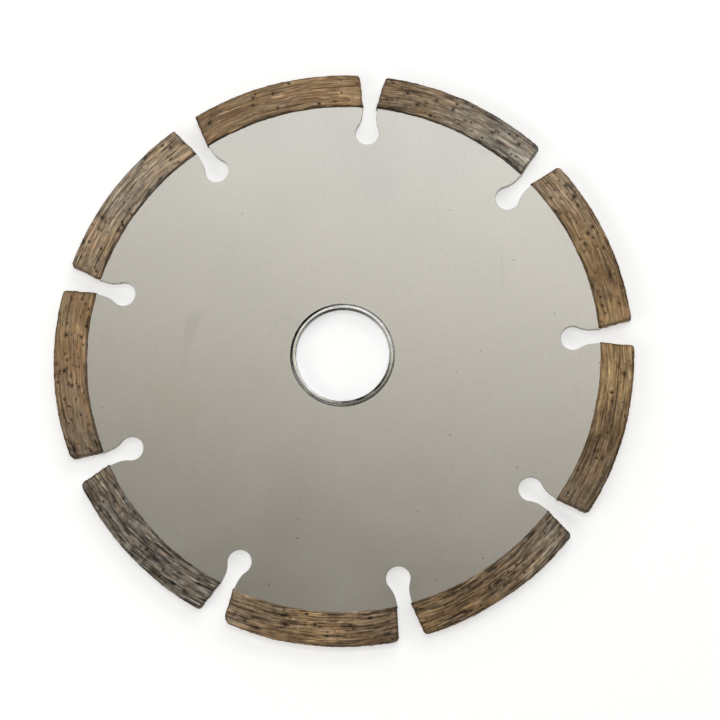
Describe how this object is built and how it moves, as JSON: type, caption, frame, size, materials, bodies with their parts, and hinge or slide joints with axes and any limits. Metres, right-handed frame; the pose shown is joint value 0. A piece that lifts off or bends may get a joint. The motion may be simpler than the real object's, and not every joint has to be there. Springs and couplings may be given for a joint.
{
  "type": "diamond blade",
  "caption": "Segmented diamond blade: a flat steel core with a reducing bush in its arbor bore, and sintered bronze segments round the rim, parted by keyhole gullets.",
  "frame": {"origin": "centre of the arbor bore, at mid thickness of the core", "axes": "+Z along the arbor bore, out of the face seen in the picture; +Y through the middle of one gullet; the blade lies flat in the XY plane"},
  "size_m": [0.125, 0.1249, 0.0022],
  "materials": {
    "core_steel": "bead-blasted satin, warm grey, with a faint brushed grain and a few specks",
    "bush_steel": "bright plated steel with rounded edges, which mirror the room as dark and light bands",
    "segment_bronze": "sintered bronze matrix, matt tan brown, ground along the rim, with dark pull-out pits and silvery rubbed patches"
  },
  "bodies": {
    "root": {"steel_core": "core_steel", "reducing_bush": "bush_steel", "segment_1": "segment_bronze", "segment_2": "segment_bronze", "segment_3": "segment_bronze", "segment_4": "segment_bronze", "segment_5": "segment_bronze", "segment_6": "segment_bronze", "segment_7": "segment_bronze", "segment_8": "segment_bronze", "segment_9": "segment_bronze"}
  },
  "joints": []
}
